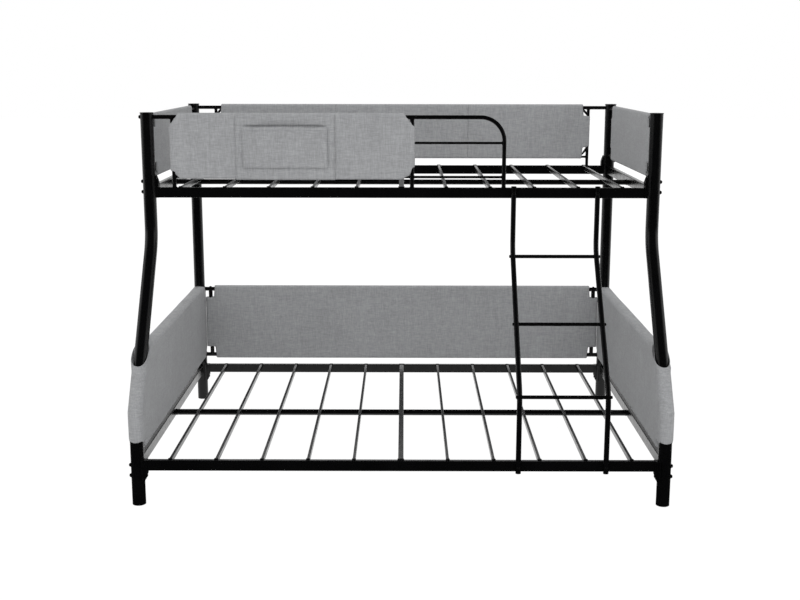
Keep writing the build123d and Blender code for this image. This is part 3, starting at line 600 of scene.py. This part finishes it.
def lower_end_cover(name):
    """The cover of the lower bunk's end, drawn over the rear post and the bent front post."""
    node = f"lower_{name}_end_cover"
    low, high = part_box(node)
    bottom, top = low.z, high.z
    slope = math.atan2(UPPER_Y - LOWER_Y, BEND_TOP_Z - BEND_LOW_Z)
    off = SLEEVE_R / math.cos(slope)
    knee = BEND_LOW_Z + SLEEVE_R * math.tan(slope / 2)
    rear, front = REAR_Y + SLEEVE_R, LOWER_Y - SLEEVE_R
    mouth_front, mouth_rear = front_post_y(MOUTH_Z) - off, front_post_y(top) + off
    foot_rear = LOWER_Y + SLEEVE_R
    corners = [(rear, bottom + REAR_LOW_CUT), (rear, top - REAR_TOP_CUT), (rear - REAR_TOP_CUT, top),
               (mouth_rear, top), (mouth_front, MOUTH_Z), (front, knee), (front, SLEEVE_LOW_Z),
               (foot_rear, SLEEVE_LOW_Z), (foot_rear, bottom), (rear - REAR_LOW_CUT, bottom)]

    def edge_r(u, v):
        at_mouth = u < mouth_rear and MOUTH_Z - 0.012 < v < top
        at_foot = u < foot_rear and abs(v - SLEEVE_LOW_Z) < 0.001
        if at_mouth or at_foot:
            return OPEN_EDGE_R
        level = v > top - 0.001 or v < bottom + 0.001
        return LEVEL_EDGE_R if level or u < 0 and v < SLEEVE_LOW_Z else SLEEVE_R * 0.98

    def half(u, v, side):
        nearest = min(u - (front_post_y(v) - off), rear - u)
        away = between(nearest, *POST_FADE)
        h = SLEEVE_R - away * (0.0012 + sunk(v, bottom, top, 0.0030, LOWER_END_SINK_W))
        h += away * 0.0012 * ripple(u, v, 33.1 + side, 0.22)
        h += 0.0005 * ripple(u, v * 0.3, 43.1 + side, 0.03) * (1 - away)
        for crease in POST_CREASES:
            h -= CREASE_DEPTH * bump_at(rear - u, crease, CREASE_W)
        return min(h, SLEEVE_R)

    x = (low.x + high.x) / 2
    sleeve(f"{node}_cloth", corners, 0.010, facing_x(x), half, edge_r, LINEN_SIDE, pitch=0.011,
           seams_u=[rear - crease for crease in POST_CREASES])
    collar(f"{name}_collar", x, Vector((0, mouth_front, MOUTH_Z)), Vector((0, mouth_rear, top)))


COLLAR_R = 0.0315
COLLAR_CLOTH = 0.0018
COLLAR_RISE = 0.018
COLLAR_SHIFT = -0.0025      # along X, on both posts
COLLAR_STEPS = 40


def collar(name, x, front, rear):
    """The loose mouth of the sleeve round the sloping post, cut by the plane through front and rear."""
    base = Vector((0, front_post_y(MOUTH_Z), MOUTH_Z))
    along = Vector((0, UPPER_Y - LOWER_Y, BEND_TOP_Z - BEND_LOW_Z)).normalized()
    ahead = Vector((0, -along.z, along.y))
    normal = Vector((0, -(rear - front).z, (rear - front).y)).normalized()
    inner, outer = COLLAR_R - COLLAR_CLOTH, COLLAR_R
    middle_x = x + COLLAR_SHIFT
    profile = ((outer - 0.006, -0.050), (outer - 0.0022, -0.022), (outer, -0.004), (outer - 0.0003, -0.0006),
               ((inner + outer) / 2, 0.0002), (inner + 0.0003, -0.0006), (inner - 0.0002, -0.004),
               (inner - 0.0022, -0.022), (inner - 0.006, -0.050))
    bm = bmesh.new()
    rings = []
    for i in range(COLLAR_STEPS):
        a = math.tau * i / COLLAR_STEPS
        outward = ahead * math.cos(a) + X_AXIS * math.sin(a)
        loose = 1 + 0.06 * math.sin(2 * a) ** 2 + 0.02 * math.sin(3 * a)
        ring = []
        for radius, down in profile:
            start = base + outward * radius * loose
            reach = (front - start).dot(normal) / along.dot(normal)
            ring.append(bm.verts.new(start + along * (reach + down + COLLAR_RISE) + X_AXIS * middle_x))
        rings.append(ring)
    for i in range(COLLAR_STEPS):
        first, second = rings[i], rings[(i + 1) % COLLAR_STEPS]
        for k in range(len(profile)):
            after = (k + 1) % len(profile)
            bm.faces.new((first[k], first[after], second[after], second[k]))
    piece(name, bm, LINEN_SIDE, CLOTH_ANGLE)


# Storage pocket

POCKET_CLOTH = 0.0022
POCKET_LIFT = 0.0003        # the gap between the pocket's cloth and the cover where it is sewn down
POCKET_GAPE = 0.0068
POCKET_HEM = 0.012
STITCH_INSET = 0.004
SEWN_WIDTH = 0.0012


def pocket_out(u, v):
    """How far the pocket's cloth stands off the cover, at its middle surface."""
    width = POCKET_HIGH.x - POCKET_LOW.x
    height = POCKET_HIGH.z - POCKET_LOW.z
    a = min(max((u - POCKET_LOW.x) / width, 0.0), 1.0)
    b = min(max((v - POCKET_LOW.z) / height, 0.0), 1.0)
    across = math.sin(math.pi * a) ** 0.4
    rise = b ** 1.6
    out = POCKET_GAPE * across * (0.25 * math.sin(math.pi * b) + 0.75 * rise)
    return out + 0.0004 * across * ripple(u, v, 51.0, 0.07)


def storage_pocket():
    low, high = POCKET_LOW, POCKET_HIGH
    corners = [(low.x, low.z), (high.x, low.z), (high.x, high.z), (low.x, high.z)]
    outline = rounded(corners, 0.004)
    hem = high.z - POCKET_HEM
    stitch_lines_u = (low.x + STITCH_INSET, high.x - STITCH_INSET)
    flat = flat_cloth(outline, corners, 0.008, seams_u=stitch_lines_u, seams_v=(hem, low.z + STITCH_INSET))
    flat.verts.ensure_lookup_table()
    back_y = high.y
    depths = distance_to(outline, [(v.co.x, v.co.y) for v in flat.verts])
    bm = bmesh.new()
    sheets = []
    for side in (1, -1):
        sheet = []
        for vert, depth in zip(flat.verts, depths):
            u, v = vert.co.x, vert.co.y
            thick = POCKET_CLOTH / 2 * (0.35 + 0.65 * min(depth / 0.0022, 1.0))
            thick *= 1 + 0.5 * between(v, hem, hem + 0.001)
            sewn = bump_at(u, stitch_lines_u[0], SEWN_WIDTH) + bump_at(u, stitch_lines_u[1], SEWN_WIDTH)
            sewn += bump_at(v, low.z + STITCH_INSET, SEWN_WIDTH) + 0.7 * bump_at(v, hem, SEWN_WIDTH)
            thick *= 1 - 0.35 * min(sewn, 1.0)
            middle = POCKET_LIFT + POCKET_CLOTH / 2 + pocket_out(u, v)
            sheet.append(bm.verts.new((u, back_y - middle - side * thick, v)))
        sheets.append(sheet)
    for face in flat.faces:
        for side, sheet in zip((1, -1), sheets):
            verts = [sheet[v.index] for v in face.verts]
            bm.faces.new(verts if side > 0 else verts[::-1])
    for edge in flat.edges:
        if edge.is_boundary:
            a, b = (v.index for v in edge.verts)
            bm.faces.new((sheets[0][a], sheets[0][b], sheets[1][b], sheets[1][a]))
    flat.free()
    made = piece("storage_pocket_cloth", bm, LINEN_FRONT, CLOTH_ANGLE)
    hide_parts("storage_pocket")


# Stitching

STITCH_PITCH = 0.0052
STITCH_LENGTH = 0.0036
STITCH_SIDES = 6
THREAD_R = 0.00042
SEAM_STITCHES = 0.005       # the rows' distance from the seam
SEAM_MARGIN = 0.012         # the rows stop this far from the cover's edges


def add_stitch(bm, middle, along, out):
    """One stitch: a short length of thread whose ends go down into the cloth."""
    across = along.cross(out)
    rings = []
    for t, lift, radius in ((-0.5, -0.0006, 0.8), (-0.32, 0.0001, 1.0), (0.0, 0.0003, 1.05),
                            (0.32, 0.0001, 1.0), (0.5, -0.0006, 0.8)):
        centre = middle + along * (t * STITCH_LENGTH) + out * lift
        ring = []
        for k in range(STITCH_SIDES):
            a = math.tau * k / STITCH_SIDES
            ring.append(bm.verts.new(centre + (across * math.cos(a) + out * math.sin(a)) * THREAD_R * radius))
        rings.append(ring)
    for first, second in zip(rings, rings[1:]):
        for k in range(STITCH_SIDES):
            after = (k + 1) % STITCH_SIDES
            bm.faces.new((first[k], first[after], second[after], second[k]))
    bm.faces.new(rings[0][::-1])
    bm.faces.new(rings[-1])


def stitch_line(bm, start, end, surface, out):
    """Stitches from start to end, each (level, upright), on the surface."""
    start, end = Vector(start), Vector(end)
    count = int((end - start).length / STITCH_PITCH)
    for i in range(count):
        t = (i + 0.5) / count
        here = start.lerp(end, t)
        ahead = start.lerp(end, t + 0.001)
        middle = surface(*here)
        along = (surface(*ahead) - middle).normalized()
        add_stitch(bm, middle, along, out)


def pocket_stitches():
    low, high = POCKET_LOW, POCKET_HIGH

    def surface(u, v):
        return Vector((u, high.y - POCKET_LIFT - POCKET_CLOTH - pocket_out(u, v) + 0.0002, v))

    out = Vector((0, -1, 0))
    bm = bmesh.new()
    left, right = low.x + STITCH_INSET, high.x - STITCH_INSET
    bottom, hem = low.z + STITCH_INSET, high.z - POCKET_HEM
    stitch_line(bm, (left, bottom), (left, high.z - 0.003), surface, out)
    stitch_line(bm, (right, bottom), (right, high.z - 0.003), surface, out)
    stitch_line(bm, (left, bottom), (right, bottom), surface, out)
    stitch_line(bm, (left, hem), (right, hem), surface, out)
    piece("pocket_stitches", bm, THREAD)


def front_seam_stitches(half):
    """A row of stitches on each side of the two seams, on both faces of the front cover."""
    low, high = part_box("front_guard_cover")
    bm = bmesh.new()
    for side in (1, -1):
        out = Vector((0, -side, 0))

        def surface(u, v):
            return Vector((u, UPPER_Y - side * (half(u, v, side) + 0.0001), v))

        for seam in FRONT_SEAMS:
            for u in (seam - SEAM_STITCHES, seam + SEAM_STITCHES):
                stitch_line(bm, (u, low.z + SEAM_MARGIN), (u, high.z - SEAM_MARGIN), surface, out)
    piece("front_cover_stitches", bm, THREAD)


# Weld beads

BEAD_R = 0.0017
BEAD_STEPS = 36
BEAD_SIDES = 7


def add_bead(bm, at, along, radius, onto_r=None, onto_axis=Vector((0, 0, 1))):
    """A weld round a tube of that radius where it leaves a flat face, or a round tube of radius onto_r."""
    along = Vector(along).normalized()
    s = Vector(onto_axis).normalized() if onto_r else along.orthogonal().normalized()
    t = along.cross(s)
    rings = []
    for i in range(BEAD_STEPS):
        a = math.tau * i / BEAD_STEPS
        outward = s * math.cos(a) + t * math.sin(a)
        drop = 0.0
        if onto_r:
            lateral = min(radius * abs(math.sin(a)), onto_r * 0.98)
            drop = math.sqrt(onto_r ** 2 - lateral ** 2) - onto_r
        centre = Vector(at) + outward * (radius + 0.0002) + along * (drop + 0.0002)
        uneven = noise.noise(Vector((a * 3, at[0] * 9, at[2] * 7)))
        size = BEAD_R * (1 + 0.14 * math.sin(a * 15) + 0.12 * uneven)
        ring = []
        for k in range(BEAD_SIDES):
            b = math.tau * k / BEAD_SIDES
            ring.append(bm.verts.new(centre + (outward * math.cos(b) + along * math.sin(b)) * size))
        rings.append(ring)
    for i in range(BEAD_STEPS):
        first, second = rings[i], rings[(i + 1) % BEAD_STEPS]
        for k in range(BEAD_SIDES):
            after = (k + 1) % BEAD_SIDES
            bm.faces.new((first[k], first[after], second[after], second[k]))


ROD_HEIGHTS = (1.315, 1.184)


def guard_welds():
    bm = bmesh.new()
    top_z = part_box("rear_guard_tube")[0].z
    for x in GUARD_XS:
        add_bead(bm, (x, UPPER_Y, UP_RAIL_TOP), Z_AXIS, GUARD_R)
    for x in GUARD_XS[:2]:
        add_bead(bm, (x, UPPER_Y, top_z), -Z_AXIS, GUARD_R * 0.98, GUARD_R, X_AXIS)
    for left, right in zip(GUARD_XS, GUARD_XS[1:]):
        for z in ROD_HEIGHTS:
            add_bead(bm, (left + GUARD_R, UPPER_Y, z), X_AXIS, ROD_R, GUARD_R, Z_AXIS)
            add_bead(bm, (right - GUARD_R, UPPER_Y, z), -X_AXIS, ROD_R, GUARD_R, Z_AXIS)
    for side in (-1, 1):
        x = side * REAR_UPRIGHT_X
        add_bead(bm, (x, REAR_Y, UP_RAIL_TOP), Z_AXIS, REAR_UPRIGHT_R)
        add_bead(bm, (x, REAR_Y, top_z), -Z_AXIS, REAR_UPRIGHT_R, GUARD_R, X_AXIS)
        add_bead(bm, (x - side * REAR_UPRIGHT_R, REAR_Y, ROD_HEIGHTS[1]), X_AXIS * -side, ROD_R,
                 REAR_UPRIGHT_R, Z_AXIS)
    piece("guard_welds", bm, PAINT)


def post_welds():
    """The end tubes of both bunks, and the lower back tubes, on the posts."""
    bm = bmesh.new()
    up_low, up_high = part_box("upper_right_end_frame")
    upper_heights = (up_low.z + GUARD_R, up_high.z - GUARD_R)
    panel_low, panel_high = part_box("back_panel_frame")
    panel_heights = (panel_low.z + PANEL_TUBE_R, panel_high.z - PANEL_TUBE_R)
    for side in (-1, 1):
        x = side * POST_X
        for z in upper_heights:
            add_bead(bm, (x, UPPER_Y + POST_R, z), Y_AXIS, GUARD_R, POST_R)
            add_bead(bm, (x, REAR_Y - POST_R, z), -Y_AXIS, GUARD_R, POST_R)
        for z in panel_heights:
            add_bead(bm, (x - side * POST_R, REAR_Y, z), X_AXIS * -side, PANEL_TUBE_R, POST_R)
    for side in (-1, 1):
        for level in ("lower", "upper"):
            beam_low, beam_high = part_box(f"{level}_mid_beam")
            radius = (beam_high.z - beam_low.z) / 2
            end = beam_high.x if side > 0 else beam_low.x
            middle = (beam_low + beam_high) / 2
            add_bead(bm, (end, middle.y, middle.z), X_AXIS * -side, radius)
    piece("post_welds", bm, PAINT)


# Stage, light and camera

FLOOR_SIZE = 60.0
FLOOR_GREY = 0.86
FLOOR_SEEN = 1.06, 0.9      # the white that the camera sees, and its share. The rest keeps the shadow
FLOOR_GLOSS = 0.02, 1.2     # what the paint mirrors of the floor in front of the bed, and under and behind it
FLOOR_TURN = -0.4, -0.1     # the Y between which it changes
FRONT_GLOSS = 0.02          # what the paint mirrors in front of the bed
BACKDROP_GLOSS, BACKDROP_FROM = 1.0, (0.80, 0.96)   # the same behind it, and where that begins along Y
SIDE_GLOSS, SIDE_FROM = 1.6, (0.78, 0.96)           # the same beside it, along X
AMBIENT = 1.08
KEY_AT, KEY_TARGET = Vector((0.0, -5.0, 2.2)), Vector((0.0, 0.1, 0.8))
KEY_SIZE, KEY_POWER = 3.0, 32.0


def stage():
    """A white floor that keeps a faint shadow. The paint mirrors it, but not in front of the bed."""
    bm = bmesh.new()
    bmesh.ops.create_grid(bm, x_segments=2, y_segments=2, size=FLOOR_SIZE / 2)
    mesh = bpy.data.meshes.new("floor")
    bm.to_mesh(mesh)
    bm.free()
    floor = bpy.data.objects.new("floor", mesh)
    floor.location.z = -0.0006
    bpy.context.scene.collection.objects.link(floor)
    material = bpy.data.materials.new("floor")
    material.use_nodes = True
    tree = material.node_tree
    tree.nodes.clear()
    output = tree.nodes.new("ShaderNodeOutputMaterial")
    diffuse = tree.nodes.new("ShaderNodeBsdfDiffuse")
    diffuse.inputs["Color"].default_value = (FLOOR_GREY, FLOOR_GREY, FLOOR_GREY, 1)
    white = tree.nodes.new("ShaderNodeEmission")
    path = tree.nodes.new("ShaderNodeLightPath")
    seen = math_node(tree, "MAXIMUM", path.outputs["Is Camera Ray"], path.outputs["Is Transmission Ray"])
    glossy = path.outputs["Is Glossy Ray"]
    split = tree.nodes.new("ShaderNodeSeparateXYZ")
    tree.links.new(object_coordinates(tree, (1, 1, 1)), split.inputs[0])
    mirrored = remap(tree, split.outputs["Y"], *FLOOR_GLOSS, *FLOOR_TURN)
    plain = math_node(tree, "MULTIPLY", math_node(tree, "SUBTRACT", 1.0, glossy), FLOOR_SEEN[0])
    strength = math_node(tree, "ADD", plain, math_node(tree, "MULTIPLY", glossy, mirrored))
    tree.links.new(strength, white.inputs["Strength"])
    share = math_node(tree, "MAXIMUM", math_node(tree, "MULTIPLY", seen, FLOOR_SEEN[1]), glossy)
    mix = tree.nodes.new("ShaderNodeMixShader")
    tree.links.new(share, mix.inputs[0])
    tree.links.new(diffuse.outputs[0], mix.inputs[1])
    tree.links.new(white.outputs[0], mix.inputs[2])
    tree.links.new(mix.outputs[0], output.inputs[0])
    mesh.materials.append(material)


def world():
    """White to the camera, plain ambient light, and for gloss a studio that is dark in front."""
    scene_world = bpy.data.worlds.new("studio")
    bpy.context.scene.world = scene_world
    scene_world.use_nodes = True
    tree = scene_world.node_tree
    tree.nodes.clear()
    output = tree.nodes.new("ShaderNodeOutputWorld")
    background = tree.nodes.new("ShaderNodeBackground")
    background.inputs["Color"].default_value = (1, 1, 1, 1)
    path = tree.nodes.new("ShaderNodeLightPath")
    source = tree.nodes.new("ShaderNodeTexCoord")
    split = tree.nodes.new("ShaderNodeSeparateXYZ")
    tree.links.new(source.outputs["Generated"], split.inputs[0])
    beside = math_node(tree, "ABSOLUTE", split.outputs["X"], 0.0)
    behind = remap(tree, split.outputs["Y"], FRONT_GLOSS, BACKDROP_GLOSS, *BACKDROP_FROM)
    gloss = math_node(tree, "ADD", behind, remap(tree, beside, 0.0, SIDE_GLOSS, *SIDE_FROM))
    glossy = path.outputs["Is Glossy Ray"]
    seen = math_node(tree, "MAXIMUM", path.outputs["Is Camera Ray"], path.outputs["Is Transmission Ray"])
    strength = math_node(tree, "MULTIPLY", glossy, gloss)
    strength = math_node(tree, "ADD", strength, seen)
    neither = math_node(tree, "SUBTRACT", 1.0, math_node(tree, "MAXIMUM", glossy, seen))
    strength = math_node(tree, "ADD", strength, math_node(tree, "MULTIPLY", neither, AMBIENT))
    tree.links.new(strength, background.inputs["Strength"])
    tree.links.new(background.outputs[0], output.inputs[0])


def key_light():
    """A large weak light from the camera's side, which brings out the weave and the seams."""
    data = bpy.data.lights.new("key", "AREA")
    data.size = KEY_SIZE
    data.energy = KEY_POWER
    light = bpy.data.objects.new("key", data)
    light.location = KEY_AT
    light.rotation_euler = (KEY_TARGET - KEY_AT).to_track_quat("-Z", "Y").to_euler()
    light.visible_glossy = False
    light.visible_camera = False
    bpy.context.scene.collection.objects.link(light)


def camera():
    data = bpy.data.cameras.new("camera")
    data.lens = CAMERA_LENS
    data.sensor_width = SENSOR
    data.clip_end = 200.0
    made = bpy.data.objects.new("camera", data)
    flat = math.cos(CAMERA_PITCH)
    ahead = Vector((math.sin(CAMERA_YAW) * flat, math.cos(CAMERA_YAW) * flat, math.sin(CAMERA_PITCH)))
    level = ahead.cross(Z_AXIS).normalized()
    above = level.cross(ahead)
    right = level * math.cos(CAMERA_ROLL) + above * math.sin(CAMERA_ROLL)
    up = right.cross(ahead)
    turn = Matrix((right, up, -ahead)).transposed()
    made.matrix_world = Matrix.Translation(CAMERA_AT) @ turn.to_4x4()
    bpy.context.scene.collection.objects.link(made)
    bpy.context.scene.camera = made


dress_frame()
front_half = front_guard_cover()
rear_guard_cover()
back_panel_cover()
for end in ("left", "right"):
    upper_end_cover(end)
    lower_end_cover(end)
storage_pocket()
pocket_stitches()
front_seam_stitches(front_half)
guard_welds()
post_welds()
stage()
world()
key_light()
camera()
bpy.context.scene.view_settings.view_transform = "Standard"
